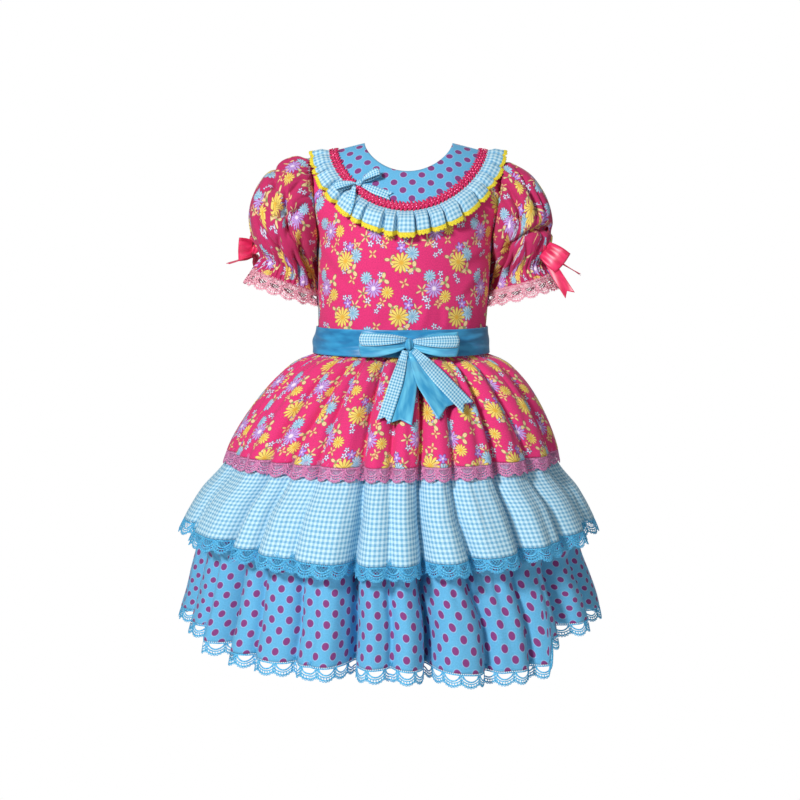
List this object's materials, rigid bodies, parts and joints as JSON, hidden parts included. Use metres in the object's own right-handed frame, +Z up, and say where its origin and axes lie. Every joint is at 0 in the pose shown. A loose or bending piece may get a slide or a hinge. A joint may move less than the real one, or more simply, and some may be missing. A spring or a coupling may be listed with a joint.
{
  "type": "festa junina dress",
  "caption": "Child's ruffled country dance dress with round yoke, collar ruffle, puff sleeves, ribbon sash with bow and three flared skirt tiers edged with lace.",
  "frame": {"origin": "on the centre line of the neck, level with the shoulders where the wearer carries the dress", "axes": "+Z up the wearer, -Y out of the front of the dress, +X to the wearer's left"},
  "size_m": [0.5414, 0.5103, 0.6083],
  "materials": {
    "floral_cotton": "matte printed cotton, hot pink with small daisies",
    "dotted_cotton": "matte printed cotton, blue with purple dots",
    "gingham_cotton": "matte woven gingham, light blue and white",
    "blue_lace": "matte polyester lace",
    "pink_lace": "matte polyester lace",
    "yellow_edging": "matte crochet edging",
    "sequin_braid": "braid with small sequins",
    "blue_satin": "satin ribbon",
    "pink_satin": "satin ribbon"
  },
  "bodies": {
    "root": {"bodice_front": "floral_cotton", "bodice_back_left": "floral_cotton", "bodice_back_right": "floral_cotton", "yoke_front": "dotted_cotton", "yoke_back_left": "dotted_cotton", "yoke_back_right": "dotted_cotton", "collar_braid": "sequin_braid", "collar_ruffle": "gingham_cotton", "collar_edging": "yellow_edging", "skirt_tier_one_front": "floral_cotton", "skirt_tier_one_back": "floral_cotton", "skirt_tier_two_front": "gingham_cotton", "skirt_tier_two_back": "gingham_cotton", "skirt_tier_three_front": "dotted_cotton", "skirt_tier_three_back": "dotted_cotton", "lace_one_front": "pink_lace", "lace_one_back": "pink_lace", "lace_two_front": "blue_lace", "lace_two_back": "blue_lace", "lace_three_front": "blue_lace", "lace_three_back": "blue_lace", "sleeve_left": "floral_cotton", "sleeve_right": "floral_cotton", "cuff_lace_left_front": "pink_lace", "cuff_lace_left_back": "pink_lace", "cuff_lace_right_front": "pink_lace", "cuff_lace_right_back": "pink_lace", "sash": "blue_satin", "waist_bow_knot": "blue_satin", "waist_bow_satin_loop_left": "blue_satin", "waist_bow_satin_loop_right": "blue_satin", "waist_bow_gingham_loop_left": "gingham_cotton", "waist_bow_gingham_loop_right": "gingham_cotton", "waist_bow_satin_tail_left": "blue_satin", "waist_bow_satin_tail_right": "blue_satin", "waist_bow_gingham_tail_left": "gingham_cotton", "waist_bow_gingham_tail_right": "gingham_cotton", "yoke_bow_knot": "gingham_cotton", "yoke_bow_loop_left": "gingham_cotton", "yoke_bow_loop_right": "gingham_cotton", "yoke_bow_tail_left": "gingham_cotton", "yoke_bow_tail_right": "gingham_cotton", "sleeve_bow_left_knot": "pink_satin", "sleeve_bow_left_loop_front": "pink_satin", "sleeve_bow_left_loop_back": "pink_satin", "sleeve_bow_left_tail_front": "pink_satin", "sleeve_bow_left_tail_back": "pink_satin", "sleeve_bow_right_knot": "pink_satin", "sleeve_bow_right_loop_front": "pink_satin", "sleeve_bow_right_loop_back": "pink_satin", "sleeve_bow_right_tail_front": "pink_satin", "sleeve_bow_right_tail_back": "pink_satin"}
  },
  "joints": []
}
